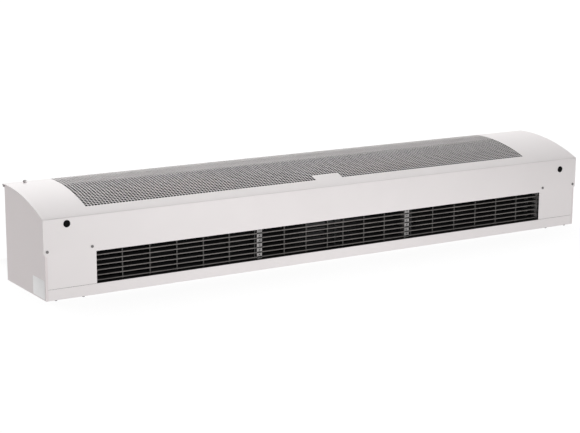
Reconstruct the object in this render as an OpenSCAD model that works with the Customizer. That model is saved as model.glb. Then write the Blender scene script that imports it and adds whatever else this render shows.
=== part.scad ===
// Air curtain for mounting over a doorway: a white sheet-steel casing whose arched
// cover is perforated as the air intake, a louvred outlet in the front face, and
// inside it a double-shaft motor between two cross-flow impellers, with finned
// heating elements behind the louvres.
// X runs along the casing, -Y is the outlet side, Z is up; the origin is on the
// resting plane under the middle of the whole object. Sizes are in millimetres.

/* [Casing] */
// Length of the casing over the two end panels
body_l = 1610; // [1500:10:1800]
// Depth of the casing from its front plane to the back of its rear wall
body_d = 234; // [228:1:250]
// Height of the bend where the arched top meets the front skirt
front_bend_h = 191; // [186:1:200]
// Height of the arched top at its rear edge
rear_top_h = 237; // [233:1:246]
// Outside radius of the arched top
cover_r = 532; // [480:1:620]
// Thickness of the casing's sheet steel
sheet_t = 0.8; // [0.7:0.1:1.5]
// How far the cover stands out past each end panel
over_end = 3.4; // [1:0.1:6]
// How far the cover stands out behind the rear wall
over_rear = 5; // [4:0.1:7]
// Height of the lip folded down along the cover's rear edge
rear_lip_h = 8; // [6:0.5:12]
// Height of the lower edge of the cover's front skirt
skirt_z = 104; // [98:1:110]
// Corner cut at each end of the skirt's lower edge
skirt_chamfer = 6; // [0:0.5:12]
// Height of the strip that closes the front below the outlet
strip_h = 26; // [22:1:32]
// Depth of the lip folded in along the top of that strip
strip_lip_d = 10; // [6:0.5:11]
// Visible width of each end panel's front flange
end_flange_w = 5.4; // [4:0.1:10]
// Width of that flange where the skirt covers it
end_tab_w = 18; // [12:1:26]
// Width of the flanges by which panels stand on the base
foot_flange_w = 12; // [8:1:14]
// Height by which the skirt laps over the side plates
lap_h = 22; // [16:1:30]
// Width of the closed end bay at each side of the outlet
end_bay_w = 128; // [120:1:140]

/* [Intake perforation] */
// Pitch of the openings; each stands for three by three holes of the fine sheet
perf_pitch = 24; // [20:1:40]
// Width of each square opening
perf_hole = 19; // [8:0.5:19]
// Bare margin between the left end of the casing and the first opening
perf_left = 118; // [60:1:200]
// Bare margin between the last opening and the right end of the casing
perf_right = 167; // [60:1:200]
// Bare margin behind the front bend, along the arch
perf_front = 35; // [20:1:60]
// Bare margin in front of the rear edge, along the arch
perf_rear = 9; // [8:1:40]
// Length of the bare tab at the front of the perforation
tab_l = 85; // [40:1:160]
// Depth of that tab
tab_d = 24; // [10:1:40]
// Distance of the tab's middle from the middle of the casing
tab_x = -4; // [-60:1:60]

/* [Wall fixing] */
// Distance of each wall hole from its end of the casing
wall_hole_in = 60; // [45:1:70]
// Distance between the front and rear wall holes
wall_hole_dy = 140; // [130:1:150]
// Diameter of the wall holes
wall_hole_d = 9; // [5:0.5:11]
// Diameter of the pressed pads round the wall holes
pad_d = 30; // [26:1:32]
// Height of the pressed pads under the base
pad_h = 3; // [2.8:0.1:6]

/* [Fasteners and plugs] */
// Head diameter of the small pan-head screws
screw_head_d = 7; // [5.5:0.1:8]
// Head height of the small screws
screw_head_h = 2; // [1:0.1:2.6]
// Shank diameter of the small screws
screw_d = 3.8; // [2.5:0.1:4.5]
// Length of the small screws under the head
screw_len = 9; // [5:0.5:14]
// Distance of the outer skirt screws from the ends of the casing
skirt_screw_out = 5.7; // [4.5:0.1:12]
// Distance of the inner skirt screws from the ends of the casing
skirt_screw_in = 117.5; // [100:0.5:120]
// Height of the skirt screws above the skirt's lower edge
skirt_screw_up = 12; // [9:0.5:16]
// Distance of the outer base screws from the ends of the casing
base_screw_out = 26; // [20:1:40]
// Distance of the inner base screws from the ends of the casing
base_screw_in = 95; // [80:1:110]
// Distance of the base screws from the front plane
base_screw_y = 6; // [5.5:0.5:10]
// Head height of the base screws
base_screw_head_h = 2.6; // [1:0.1:2.6]
// Head diameter of the screw at the cover's rear edge
rear_screw_head_d = 9.6; // [8:0.1:12]
// Head height of the screw at the cover's rear edge
rear_screw_head_h = 5.5; // [2:0.1:6]
// Distance of that screw from the left end of the casing
rear_screw_in = 48; // [40:1:90]
// Head diameter of the black hole plugs in the skirt
plug_head_d = 17; // [15.5:0.5:20]
// Height of the plug heads
plug_head_h = 1.6; // [1:0.1:1.9]
// Diameter of the holes that the plugs close
plug_hole_d = 14; // [11:0.5:15]
// Distance of the plugs from the ends of the casing
plug_in = 55.5; // [45:0.5:70]
// Drop of the left plug below the front bend
plug_drop_left = 14; // [12:0.5:50]
// Drop of the right plug below the front bend
plug_drop_right = 28; // [12:0.5:50]
// Length of the blank label on the left end panel
label_l = 68; // [40:1:80]
// Height of the blank label
label_h = 44; // [20:1:60]
// Thickness of the blank label
label_t = 0.3; // [0.2:0.1:0.6]

/* [Outlet grille] */
// Number of louvre blades
blade_count = 6; // [4:1:6]
// Pitch of the blades
blade_pitch = 12.1; // [10:0.1:12.4]
// Height of the lowest blade's bead above the strip
blade_foot = 4.4; // [2.7:0.1:6]
// Depth of the blades' front edges behind the front plane
grille_y = 12; // [11:0.5:16]
// Depth of each blade from front to back
blade_d = 12.5; // [10:0.5:14]
// Thickness of each blade
blade_t = 1.6; // [1:0.1:2]
// Radius of the bead along each blade's front edge
bead_r = 1.4; // [1:0.1:1.6]
// Upward tilt of the blades towards the back
blade_tilt = 18; // [0:1:25]
// Thickness of the upright bars
bar_t = 2.6; // [1.5:0.1:4]
// Depth of the upright bars
bar_d = 8; // [5:0.5:10]
// Pitch of the upright bars in the two side grilles
side_bar_pitch = 72.6; // [50:0.1:90]
// Pitch of the upright bars in the middle grille
mid_bar_pitch = 65.3; // [50:0.1:80]
// Distance of the first of those bars from the middle
mid_bar_x = 24; // [15:0.5:40]
// Distance of the two posts from the middle
post_x = 227.5; // [200:0.5:260]
// Width of the posts
post_w = 14.5; // [12:0.5:18]
// Depth of the posts
post_d = 18; // [16:0.5:20]
// Width of the lips at the front of the posts
post_lip_w = 5; // [3:0.1:5.5]
// Thickness of the posts' sheet
post_t = 1; // [0.8:0.1:1.2]
// Clearance of the notches round the blades
notch_gap = 0.1; // [0.05:0.05:0.3]
// Width behind each end of the outlet that the end combs take
comb_w = 11.5; // [10:0.5:14]

/* [Air duct] */
// Distance of the impeller axis behind the front plane
axis_y = 118; // [114:1:122]
// Height of the impeller axis
axis_z = 128; // [124:1:132]
// Outside radius of the impellers
fan_r = 55; // [50:1:56]
// Thickness of the duct's sheet
duct_t = 1; // [0.8:0.1:1.2]
// Gap between the impellers and the scroll where it is nearest
scroll_gap = 6; // [4:0.5:8]
// Angle above the axis, towards the back, where the scroll is nearest
scroll_top_a = 50; // [35:1:60]
// Height of the scroll's flange along the rear wall
scroll_flange_h = 32; // [8:1:32]
// Gap between the impellers and the nose of the vortex tongue
tongue_gap = 5; // [4:0.5:8]
// Height of the tongue above the skirt's lower edge
tongue_up = 1.5; // [1:0.5:4]
// Length of the motor bay between the two impellers
motor_bay_w = 168; // [160:1:190]

/* [Impellers] */
// Number of blades on each impeller
fan_blades = 30; // [20:1:36]
// Radial depth of the blades
fan_blade_d = 13; // [10:0.5:15]
// Thickness of the blades
fan_blade_t = 1; // [0.8:0.1:1.4]
// Radius of the blades' curve
fan_curve_r = 14; // [11:0.5:20]
// Number of bays between the impeller discs
fan_bays = 6; // [3:1:8]
// Thickness of the impeller discs
fan_disc_t = 2; // [1:0.1:3]
// Gap between the impellers and the plates beside them
fan_end_gap = 6; // [5:0.5:10]
// Outside radius of the impeller hubs
hub_r = 14; // [12:0.5:16]
// Length of the impeller hubs
hub_l = 26; // [20:1:30]

/* [Motor and bearings] */
// Outside radius of the motor
motor_r = 46; // [42:0.5:48]
// Length of the motor's body
motor_l = 104; // [96:1:110]
// Wall of the motor's housing
motor_wall = 2.5; // [2:0.1:4]
// Radius of the bosses at the motor's ends
boss_r = 18; // [17:0.5:20]
// Length of those bosses
boss_l = 12; // [11:0.5:13]
// Radius of the motor's shaft
shaft_r = 5; // [4:0.5:6]
// Outside radius of the motor's bearings
bearing_r = 13; // [12:0.5:14]
// Width of the motor's bearings
bearing_w = 8; // [6:0.5:8]
// Running clearance round the shafts
run_gap = 0.05; // [0.02:0.01:0.1]
// Gap between the motor's rotor and its stator
air_gap = 0.5; // [0.4:0.1:1]
// Radius of the motor's rotor
rotor_r = 28; // [24:0.5:30]
// Length of the motor's rotor and stator
core_l = 46; // [30:1:50]
// Thickness of the rubber rings round the motor's bosses
ring_t = 6; // [4:0.5:8]
// Thickness of the cradle's steel
cradle_t = 2.5; // [2:0.1:3]
// Width of the cradle's uprights
cradle_w = 70; // [64:1:80]
// Radius of the stub shafts at the outer ends
stub_r = 4; // [3:0.5:5]
// Outside radius of the end bushes
bush_r = 8; // [7:0.5:9]
// Length of the end bushes
bush_l = 14; // [12:0.5:16]
// Outside radius of the rubber round the end bushes
bush_rubber_r = 16; // [14.5:0.5:18]
// Radius of the hole in the duct's end plate
bush_hole_r = 13; // [11.5:0.5:14]

/* [Heating elements] */
// Distance of the elements behind the front plane
heater_y = 46; // [45:0.5:48]
// Height of the lowest element
heater_z = 46; // [42:1:48]
// Pitch of the three elements
heater_pitch = 19; // [18:0.5:20]
// Radius of the tube
tube_r = 4.25; // [3:0.25:5]
// Radius of the fins
fin_r = 8.5; // [7:0.1:8.8]
// Pitch of the fins
fin_pitch = 10; // [8:0.5:20]
// Thickness of the fins
fin_t = 1.2; // [0.6:0.1:3]
// Distance of the outer supports from the ends of the outlet
support_in = 12; // [8:1:30]
// Clearance of the elements in their supports and plates
heater_gap = 0.1; // [0.05:0.05:0.3]
// Length of the elements' plain ends outside the duct
cold_l = 16; // [12:1:24]

/* [Electrical parts] */
// Radius of the cable bores in the two grommets
cable_r = 7; // [4:0.5:7.5]
// Radius of the holes that hold the grommets
grommet_hole_r = 9; // [8.5:0.5:10]
// Thickness of the grommets' flanges
grommet_flange = 2.4; // [1.5:0.1:3]
// Height of the grommets above the base
grommet_z = 60; // [40:1:90]
// Distance between the two grommets
grommet_dx = 34; // [26:1:40]
// Number of ways of the terminal block
terminal_ways = 6; // [4:1:7]
// Pitch of those ways
terminal_pitch = 11; // [9:0.5:12]
// Width of the contactor that switches the elements
contactor_w = 44; // [36:1:46]
// Radius of the motor's run capacitor
capacitor_r = 16; // [13:0.5:18]
// Length of the motor's run capacitor
capacitor_l = 62; // [40:1:70]

/* [Hidden] */

half_l = body_l / 2;
inner_half = half_l - sheet_t;
outlet_half = half_l - end_bay_w;
duct_half = outlet_half + comb_w + 1.5;
bay_half = motor_bay_w / 2;
rear_in = body_d - sheet_t;
fn_arch = 720;
fn_round = 64;
fn_small = 32;
eps = 0.01;
white = [0.95, 0.94, 0.93];
zinc = [0.74, 0.76, 0.78];
dark = [0.13, 0.13, 0.14];
steel = [0.62, 0.63, 0.65];

// The arch passes through the front bend and the tip of the rear overhang
arch_a = [0, front_bend_h];
arch_b = [body_d + over_rear, rear_top_h];
arch_mid = (arch_a + arch_b) / 2;
arch_chord = norm(arch_b - arch_a);
arch_up = [-(arch_b[1] - arch_a[1]), arch_b[0] - arch_a[0]] / arch_chord;
arch_c = arch_mid - arch_up * sqrt(cover_r * cover_r - arch_chord * arch_chord / 4);
under_r = cover_r - sheet_t;
front_a = asin((arch_a[0] - arch_c[0]) / cover_r);
rear_a = asin((arch_b[0] - arch_c[0]) / cover_r);
arch_l = cover_r * (rear_a - front_a) * PI / 180;
lip_z = rear_top_h - rear_lip_h;
lip_in = over_rear - sheet_t;

// The whole object is centred from its foremost screw head to the cover's rear tip
front_reach = sheet_t + max(screw_head_h, plug_head_h);
front_y = -(body_d + over_rear - front_reach) / 2;

// Height of an arch of radius r about the cover's centre, at depth y
function arch_z(y, r) = arch_c[1] + sqrt(r * r - pow(y - arch_c[0], 2));

// A bent strip of sheet: the path of one face, and its other face t to the left
function unit(v) = v / norm(v);
function left_of(v) = [-v[1], v[0]];
function mitre(p, q, r, t) =
    let (a = left_of(unit(q - p)), m = unit(a + left_of(unit(r - q))))
    q + m * t / (m * a);
function set_off(path, t) =
    [for (i = [0 : len(path) - 1])
        i == 0 ? path[0] + t * left_of(unit(path[1] - path[0]))
        : i == len(path) - 1 ? path[i] + t * left_of(unit(path[i] - path[i - 1]))
        : mitre(path[i - 1], path[i], path[i + 1], t)];
module strip(path, t) {
    back = set_off(path, t);
    polygon(concat(path, [for (i = [len(path) - 1 : -1 : 0]) back[i]]));
}

// Everything is drawn from the front plane and the casing's underside, then set here
module seat() {
    translate([0, front_y, pad_h]) children();
}
// A section in depth and height, drawn out from x0 to x1
module along_x(x0, x1) {
    translate([x0, 0, 0]) rotate([90, 0, 90]) linear_extrude(x1 - x0) children();
}
// A round piece whose own axis runs along X from x0
module round_x(x0, y, z) {
    translate([x0, y, z]) rotate([0, 90, 0]) children();
}
module on_axis(x0) {
    round_x(x0, axis_y, axis_z) children();
}
// On the arch's outer face at depth y, with +Z square to the sheet
module on_arch(x, y) {
    translate([x, arch_c[0], arch_c[1]]) rotate([-asin((y - arch_c[0]) / cover_r), 0, 0])
        translate([0, 0, cover_r]) children();
}
module mirrored(side) {
    if (side < 0) mirror([1, 0, 0]) children();
    else children();
}
module tube(r, bore, h) {
    difference() {
        cylinder(r = r, h = h, $fn = fn_round);
        translate([0, 0, -1]) cylinder(r = bore, h = h + 2, $fn = fn_round);
    }
}

// Pan-head screw along +Z: its head is above z = 0 and its shank below
module screw(head_d, head_h, shank_d, len) {
    difference() {
        union() {
            cylinder(r = head_d / 2, h = head_h * 0.6, $fn = fn_small);
            translate([0, 0, head_h * 0.6])
                cylinder(r1 = head_d / 2, r2 = head_d / 2 - head_h * 0.4, h = head_h * 0.4, $fn = fn_small);
            translate([0, 0, -len]) cylinder(r = shank_d / 2, h = len, $fn = fn_small);
        }
        for (a = [0, 90])
            rotate([0, 0, a]) translate([-head_d * 0.28, -0.4, head_h * 0.5])
                cube([head_d * 0.56, 0.8, head_h]);
    }
}

// ---- Casing ----

screw_hole_r = screw_d / 2 + 0.1;
// Gap between neighbouring edges of the casing's sheets
part_gap = 0.2;
// Depth by which the side plates step back behind the strip
step_y = sheet_t + 0.1;
side_foot_y = step_y + base_screw_y + 6;
wall_holes = [for (sx = [-1, 1], sy = [-1, 1])
    [sx * (half_l - wall_hole_in), body_d / 2 + sy * wall_hole_dy / 2]];
base_screw_x = [for (sx = [-1, 1], d = [base_screw_out, base_screw_in]) sx * (half_l - d)];
grommet_x = [-half_l + wall_hole_in - grommet_dx / 2, -half_l + wall_hole_in + grommet_dx / 2];
plate_screw_y = [80, body_d - 34];
plate_screw_x = [bay_half - foot_flange_w / 2, duct_half + sheet_t + foot_flange_w / 2];
rear_flange_y = body_d - lip_in - 2;
rear_flange_w = 16;
rear_screw_y = rear_flange_y - rear_flange_w / 2 + 3.5;

// A round hole through one sheet along +Z, from just below z = 0
module sheet_hole(r, facets = fn_small) {
    translate([0, 0, -1]) cylinder(r = r, h = sheet_t + 2, $fn = facets);
}

// One bent sheet: front strip with its lip, base, rear wall and top flange
module base_tray() {
    wall_top = [rear_flange_y, arch_z(rear_flange_y, under_r)];
    flange_end = [rear_flange_y - rear_flange_w, arch_z(rear_flange_y - rear_flange_w, under_r)];
    path = [[strip_lip_d, strip_h], [0, strip_h], [0, 0], [body_d, 0], [body_d, lip_z],
            wall_top, flange_end];
    color(white) seat() difference() {
        union() {
            along_x(-inner_half, inner_half) strip(path, sheet_t);
            for (p = wall_holes) translate([p[0], p[1], -pad_h])
                cylinder(r = pad_d / 2, h = pad_h + eps, $fn = fn_round);
        }
        // The lip runs along the outlet only, and the strip stops at the end panels
        for (s = [-1, 1]) mirrored(s) {
            translate([outlet_half, sheet_t, strip_h - 2 * sheet_t])
                cube([end_bay_w, strip_lip_d, 3 * sheet_t]);
            translate([half_l - end_flange_w - part_gap, -1, -1])
                cube([end_flange_w, 1 + step_y, strip_h + 2]);
        }
        for (p = wall_holes) translate([p[0], p[1], -pad_h]) {
            translate([0, 0, sheet_t])
                cylinder(r = pad_d / 2 - sheet_t, h = pad_h + sheet_t, $fn = fn_round);
            sheet_hole(wall_hole_d / 2, fn_round);
        }
        for (x = base_screw_x) translate([x, base_screw_y, 0]) sheet_hole(screw_hole_r);
        for (s = [-1, 1], x = plate_screw_x, y = plate_screw_y)
            translate([s * x, y, 0]) sheet_hole(screw_hole_r);
        for (x = grommet_x) translate([x, rear_in, grommet_z]) rotate([-90, 0, 0])
            sheet_hole(grommet_hole_r, fn_round);
        on_arch(rear_screw_in - half_l, rear_screw_y) translate([0, 0, -screw_len])
            cylinder(r = screw_hole_r, h = screw_len + 2, $fn = fn_small);
    }
}

// Outline of the space under the cover, from depth y0 to y1
module under_cover(y0, y1, z0) {
    intersection() {
        polygon([[y0, z0], [y1, z0], [y1, lip_z], [y1 - (body_d - rear_flange_y), rear_top_h],
                 [y0, rear_top_h]]);
        translate(arch_c) circle(r = under_r, $fn = fn_arch);
    }
}

// Distance from the corners at which the end panels' inner flanges start and stop
foot_start = 6;
wall_flange_start = 8;
module end_panel(side) {
    color(white) seat() mirrored(side) difference() {
        union() {
            along_x(inner_half, half_l) under_cover(0, body_d, 0);
            // Front flange, narrow in view and wide behind the skirt
            translate([half_l - end_flange_w, 0, 0]) cube([end_flange_w, sheet_t, skirt_z + 1]);
            translate([half_l - end_tab_w, 0, skirt_z])
                cube([end_tab_w, sheet_t, front_bend_h - skirt_z - wall_flange_start]);
            // Foot flange on the base and rear flange against the wall
            translate([inner_half - foot_flange_w, foot_start, sheet_t])
                cube([foot_flange_w + eps, rear_in - 2 * foot_start, sheet_t]);
            translate([inner_half - foot_flange_w, rear_in - sheet_t, wall_flange_start])
                cube([foot_flange_w + eps, sheet_t, lip_z - 3 * wall_flange_start]);
        }
        translate([half_l - skirt_screw_out, 0, skirt_z + skirt_screw_up]) rotate([-90, 0, 0])
            sheet_hole(screw_hole_r);
    }
}

// Gap over the strip where the side plates step back behind it
joint_gap = 0.6;
// Plate that closes the front between the outlet and the end panel: it stands flush
// with the strip and steps back behind it
module front_side_plate(side) {
    path = [[0, skirt_z + lap_h], [0, strip_h + joint_gap], [step_y, strip_h + joint_gap], [step_y, sheet_t],
            [side_foot_y, sheet_t]];
    color(white) seat() mirrored(side) difference() {
        along_x(outlet_half, half_l - end_flange_w - part_gap) strip(path, sheet_t);
        // Clear of the end panel's wide tab and of its foot flange
        translate([half_l - end_tab_w - part_gap, -1, skirt_z - part_gap])
            cube([end_tab_w, sheet_t + 2, lap_h + 2]);
        translate([inner_half - foot_flange_w - part_gap, foot_start - part_gap, 0])
            cube([foot_flange_w, body_d, 3 * sheet_t]);
        translate([half_l - skirt_screw_in, 0, skirt_z + skirt_screw_up]) rotate([-90, 0, 0])
            sheet_hole(screw_hole_r);
        for (d = [base_screw_out, base_screw_in])
            translate([half_l - d, base_screw_y, sheet_t]) sheet_hole(screw_hole_r);
    }
}

perf_x0 = -half_l + perf_left;
perf_cols = floor((body_l - perf_left - perf_right) / perf_pitch);
perf_rows = floor((arch_l - perf_front - perf_rear) / perf_pitch);
// Depth of the middle of row k, counted along the arch from its front bend
function row_y(k) =
    let (along = perf_front + (k + 0.5) * perf_pitch)
    arch_c[0] + cover_r * sin(front_a + along / cover_r * 180 / PI);
// Whether the opening in column c and row k falls on the bare tab
function on_tab(c, k) =
    abs(perf_x0 + (c + 0.5) * perf_pitch - tab_x) < tab_l / 2 && (k + 0.5) * perf_pitch <= tab_d;

// Places of the two hole plugs along and up the skirt
plugs = [[plug_in - half_l, front_bend_h - plug_drop_left],
         [half_l - plug_in, front_bend_h - plug_drop_right]];

// One sheet: front skirt, arched top and rear lip
module top_cover() {
    end_x = half_l + over_end;
    tip = arch_b[0];
    color(white) seat() difference() {
        along_x(-end_x, end_x) {
            translate([-sheet_t, skirt_z]) square([sheet_t, arch_z(-sheet_t, under_r) - skirt_z + eps]);
            intersection() {
                translate(arch_c) difference() {
                    circle(r = cover_r, $fn = fn_arch);
                    circle(r = under_r, $fn = fn_arch);
                }
                translate([-sheet_t, skirt_z]) square([tip + sheet_t, rear_top_h]);
            }
            polygon([[tip, rear_top_h - eps], [tip - sheet_t, arch_z(tip - sheet_t, under_r) + eps],
                     [body_d, lip_z], [body_d + sheet_t, lip_z]]);
        }
        for (s = [-1, 1]) mirrored(s) {
            translate([end_x, 0, skirt_z]) rotate([0, 45, 0])
                cube([skirt_chamfer * sqrt(2), 4 * sheet_t + 1, skirt_chamfer * sqrt(2)], center = true);
            for (d = [skirt_screw_out, skirt_screw_in])
                translate([half_l - d, -sheet_t, skirt_z + skirt_screw_up]) rotate([-90, 0, 0])
                    sheet_hole(screw_hole_r);
        }
        for (p = plugs) translate([p[0], -sheet_t, p[1]]) rotate([-90, 0, 0])
            sheet_hole(plug_hole_d / 2, fn_round);
        on_arch(rear_screw_in - half_l, rear_screw_y) translate([0, 0, -screw_len])
            cylinder(r = screw_hole_r, h = 2 * screw_len, $fn = fn_small);
        translate([0, 0, front_bend_h]) linear_extrude(rear_top_h)
            for (k = [0 : perf_rows - 1], c = [0 : perf_cols - 1])
                if (!on_tab(c, k))
                    translate([perf_x0 + (c + 0.5) * perf_pitch, row_y(k)])
                        square(perf_hole, center = true);
    }
}

// Moulded plug: a domed head outside the sheet and a hollow stem with a snap rim behind it
plug_stem_l = 6;
plug_wall = 1.5;
module hole_plugs() {
    head_r = plug_head_d / 2;
    stem_r = plug_hole_d / 2;
    color(dark) seat() for (p = plugs) translate([p[0], -sheet_t, p[1]]) rotate([90, 0, 0])
        rotate_extrude($fn = fn_round) polygon([
            [0, 0], [stem_r - plug_wall, 0], [stem_r - plug_wall, -plug_stem_l], [stem_r, -plug_stem_l],
            [stem_r, -sheet_t - 1.6], [stem_r + 0.5, -sheet_t - 1], [stem_r, -sheet_t], [stem_r, 0],
            [head_r, 0], [head_r, plug_head_h * 0.35], [head_r - plug_head_h * 0.4, plug_head_h * 0.8],
            [head_r - plug_head_h * 1.4, plug_head_h], [0, plug_head_h]]);
}

module cover_front_screws() {
    color(steel) seat() for (s = [-1, 1], d = [skirt_screw_out, skirt_screw_in])
        translate([s * (half_l - d), -sheet_t, skirt_z + skirt_screw_up]) rotate([90, 0, 0])
            screw(screw_head_d, screw_head_h, screw_d, screw_len);
}

module cover_rear_screw() {
    color(steel) seat() on_arch(rear_screw_in - half_l, rear_screw_y)
        screw(rear_screw_head_d, rear_screw_head_h, screw_d, screw_len);
}

module base_front_screws() {
    color(steel) seat() for (x = base_screw_x)
        translate([x, base_screw_y, 0]) rotate([180, 0, 0])
            screw(screw_head_d, base_screw_head_h, screw_d, screw_len);
}

module blank_label() {
    color([0.98, 0.98, 0.97]) seat() translate([-half_l - label_t, 7, 3]) cube([label_t, label_l, label_h]);
}

// ---- Outlet ----

opening_z0 = strip_h + duct_t;
opening_z1 = skirt_z + tongue_up;
blade_z = [for (i = [0 : blade_count - 1]) strip_h + blade_foot + i * blade_pitch];
post_y = grille_y + 0.8;

// Section of one blade: a bead in front and a thin blade rising behind it
module blade_section(grow) {
    circle(r = bead_r + grow, $fn = fn_small);
    rotate(blade_tilt) translate([0, -blade_t / 2 - grow])
        square([blade_d - bead_r + grow, blade_t + 2 * grow]);
}
module blades(x0, x1, grow) {
    for (z = blade_z) along_x(x0, x1) translate([grille_y + bead_r, z]) blade_section(grow);
}
module upright(x, t, y0, d) {
    translate([x - t / 2, y0, opening_z0]) cube([t, d, opening_z1 - opening_z0]);
}

module side_grille(side) {
    bars = floor((outlet_half - post_x - post_w / 2 - bar_t) / side_bar_pitch);
    color(dark) seat() mirrored(side) {
        blades(post_x + notch_gap, outlet_half + comb_w / 2, 0);
        for (k = [1 : bars]) upright(outlet_half - k * side_bar_pitch, bar_t, grille_y + bead_r, bar_d);
    }
}

module outlet_grille_centre() {
    bars = floor((post_x - post_w / 2 - bar_t - mid_bar_x) / mid_bar_pitch);
    color(dark) seat() {
        blades(notch_gap - post_x, post_x - notch_gap, 0);
        for (s = [-1, 1], k = [0 : bars])
            upright(s * (mid_bar_x + k * mid_bar_pitch), bar_t, grille_y + bead_r, bar_d);
        upright(0, bar_t * 0.6, grille_y + 2 * bead_r, bar_d);
    }
}

// Lipped channel, notched for the blades
module notched_channel(w, lips) {
    difference() {
        translate([0, post_y, opening_z0]) linear_extrude(opening_z1 - opening_z0) difference() {
            square([w, post_d]);
            translate([post_t, post_t]) square([w - 2 * post_t, post_d - 2 * post_t]);
            slot_w = w - (lips == 2 ? 2 * post_lip_w : post_lip_w + post_t);
            translate([post_lip_w, -1]) square([slot_w, 2 + post_t]);
        }
        blades(-1, w + 1, notch_gap);
    }
}

module grille_post(side) {
    color(zinc) seat() translate([side * post_x - post_w / 2, 0, 0]) notched_channel(post_w, 2);
}

module grille_end_comb(side) {
    color(zinc) seat() mirrored(side) translate([duct_half - comb_w, 0, 0]) notched_channel(comb_w, 1);
}

// ---- Air duct ----

scroll_r0 = fan_r + scroll_gap;
scroll_r1 = axis_z - opening_z0;
scroll_steps = 20;
scroll_flange_z = axis_z + scroll_r0 * sin(scroll_top_a) + 12;
// The scroll ends in a short lip bent towards the rear wall
scroll_lip = 4 * [cos(78), sin(78)];
function scroll_r(a) = scroll_r0 * pow(scroll_r1 / scroll_r0, (scroll_top_a - a) / (scroll_top_a + 90));
// Point of the scroll's outer face at angle a above the axis, towards the back
function scroll_pt(a) = [axis_y, axis_z] + (scroll_r(a) + duct_t) * [cos(a), sin(a)];

module scroll(side) {
    nose = scroll_pt(scroll_top_a);
    curve = [for (i = [0 : scroll_steps]) scroll_pt(-90 + (90 + scroll_top_a) * i / scroll_steps)];
    path = concat([[1.4 + sheet_t, strip_h]], curve,
                  [nose + scroll_lip, [rear_in, scroll_flange_z],
                   [rear_in, scroll_flange_z + scroll_flange_h]]);
    color(dark) seat() mirrored(side) difference() {
        along_x(bay_half + sheet_t, duct_half) strip(path, duct_t);
        // Clear of the screw ends along the side plate and of the channel feet
        translate([outlet_half - 0.2, -1, 0]) cube([end_bay_w, grille_y + 1, strip_h + 4]);
    }
}

// Over the outlet: a flange behind the skirt, the duct's roof and the rounded-off nose
// that comes nearest to the impeller
tongue_z = opening_z1;
tongue_rise = 4;
tongue_back = [-3.6, 7];
module vortex_tongue(side) {
    tongue_r = fan_r + tongue_gap + duct_t;
    a = 180 + asin((axis_z - tongue_z - tongue_rise) / tongue_r);
    nose = [axis_y, axis_z] + tongue_r * [cos(a), sin(a)];
    path = [[0, tongue_z + lap_h], [0, tongue_z], [nose[0] - tongue_rise, tongue_z], nose,
            nose + tongue_back];
    color(dark) seat() mirrored(side) difference() {
        along_x(bay_half + sheet_t, duct_half) strip(path, duct_t);
        // The side plate takes the flange's place beside the outlet
        translate([outlet_half - 0.2, -1, 0]) cube([end_bay_w, max(sheet_t, duct_t) + 1.1, body_d]);
    }
}

heater_zs = [for (k = [0 : 2]) heater_z + k * heater_pitch];
// Clearance of the partitions' edges from the sheets they don't touch
plate_gap = 0.7;

// Partition between the air duct and the end bay, with its bearing hole
module duct_end_plate(side) {
    color(zinc) seat() mirrored(side) difference() {
        union() {
            along_x(duct_half, duct_half + sheet_t) difference() {
                under_cover(step_y + sheet_t + plate_gap, rear_in, sheet_t);
                translate([axis_y, axis_z]) circle(r = bush_hole_r, $fn = fn_round);
                for (z = heater_zs) translate([heater_y, z]) circle(r = tube_r + heater_gap, $fn = fn_round);
                // Clear of the side plate's foot and of the rear wall's top flange
                square([side_foot_y + plate_gap, 2 * sheet_t + plate_gap]);
                translate([rear_flange_y - rear_flange_w - plate_gap, lip_z - 2 * sheet_t])
                    square([body_d, body_d]);
            }
            translate([duct_half, 24, sheet_t]) cube([foot_flange_w + sheet_t, rear_in - 34, sheet_t]);
        }
        for (y = plate_screw_y) translate([plate_screw_x[1], y, 0])
            cylinder(r = screw_hole_r, h = 4 * sheet_t, $fn = fn_small);
    }
}

// Partition between the motor bay and each impeller
bay_plate_corner = 14;
module motor_bay_plate(side) {
    front = heater_y + fin_r + 4;
    arm = grille_y + post_d + 2;
    top = scroll_flange_z + 12;
    color(zinc) seat() mirrored(side) difference() {
        union() {
            along_x(bay_half, bay_half + sheet_t) difference() {
                polygon([[front, sheet_t], [rear_in, sheet_t], [rear_in, top], [arm + bay_plate_corner, top],
                         [arm, top - bay_plate_corner], [arm, tongue_z - 4], [front, tongue_z - 4]]);
                translate([axis_y, axis_z]) circle(r = hub_r + 3, $fn = fn_round);
            }
            translate([bay_half - foot_flange_w, front, sheet_t])
                cube([foot_flange_w + eps, rear_in - front - 10, sheet_t]);
        }
        for (y = plate_screw_y) translate([plate_screw_x[0], y, 0])
            cylinder(r = screw_hole_r, h = 4 * sheet_t, $fn = fn_small);
    }
}

module plate_screws() {
    color(steel) seat() for (s = [-1, 1], x = plate_screw_x, y = plate_screw_y)
        translate([s * x, y, 2 * sheet_t]) screw(screw_head_d, screw_head_h, screw_d, 2 * sheet_t);
}

// ---- Rotor: one shaft line with two impellers ----

fan_x0 = bay_half + sheet_t + fan_end_gap;
fan_x1 = duct_half - 3 * fan_end_gap;
fan_l = fan_x1 - fan_x0;

// One forward-curved blade: the stretch of a thin ring inside the blade annulus
module fan_blade() {
    mid = fan_r - fan_blade_d / 2 - 0.5;
    intersection() {
        translate([mid + fan_curve_r * 0.35, -fan_curve_r * 0.94]) difference() {
            circle(r = fan_curve_r + fan_blade_t / 2, $fn = fn_small);
            circle(r = fan_curve_r - fan_blade_t / 2, $fn = fn_small);
        }
        translate([mid - fan_blade_d / 2, -fan_blade_d / 2]) square(fan_blade_d);
    }
}

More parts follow.
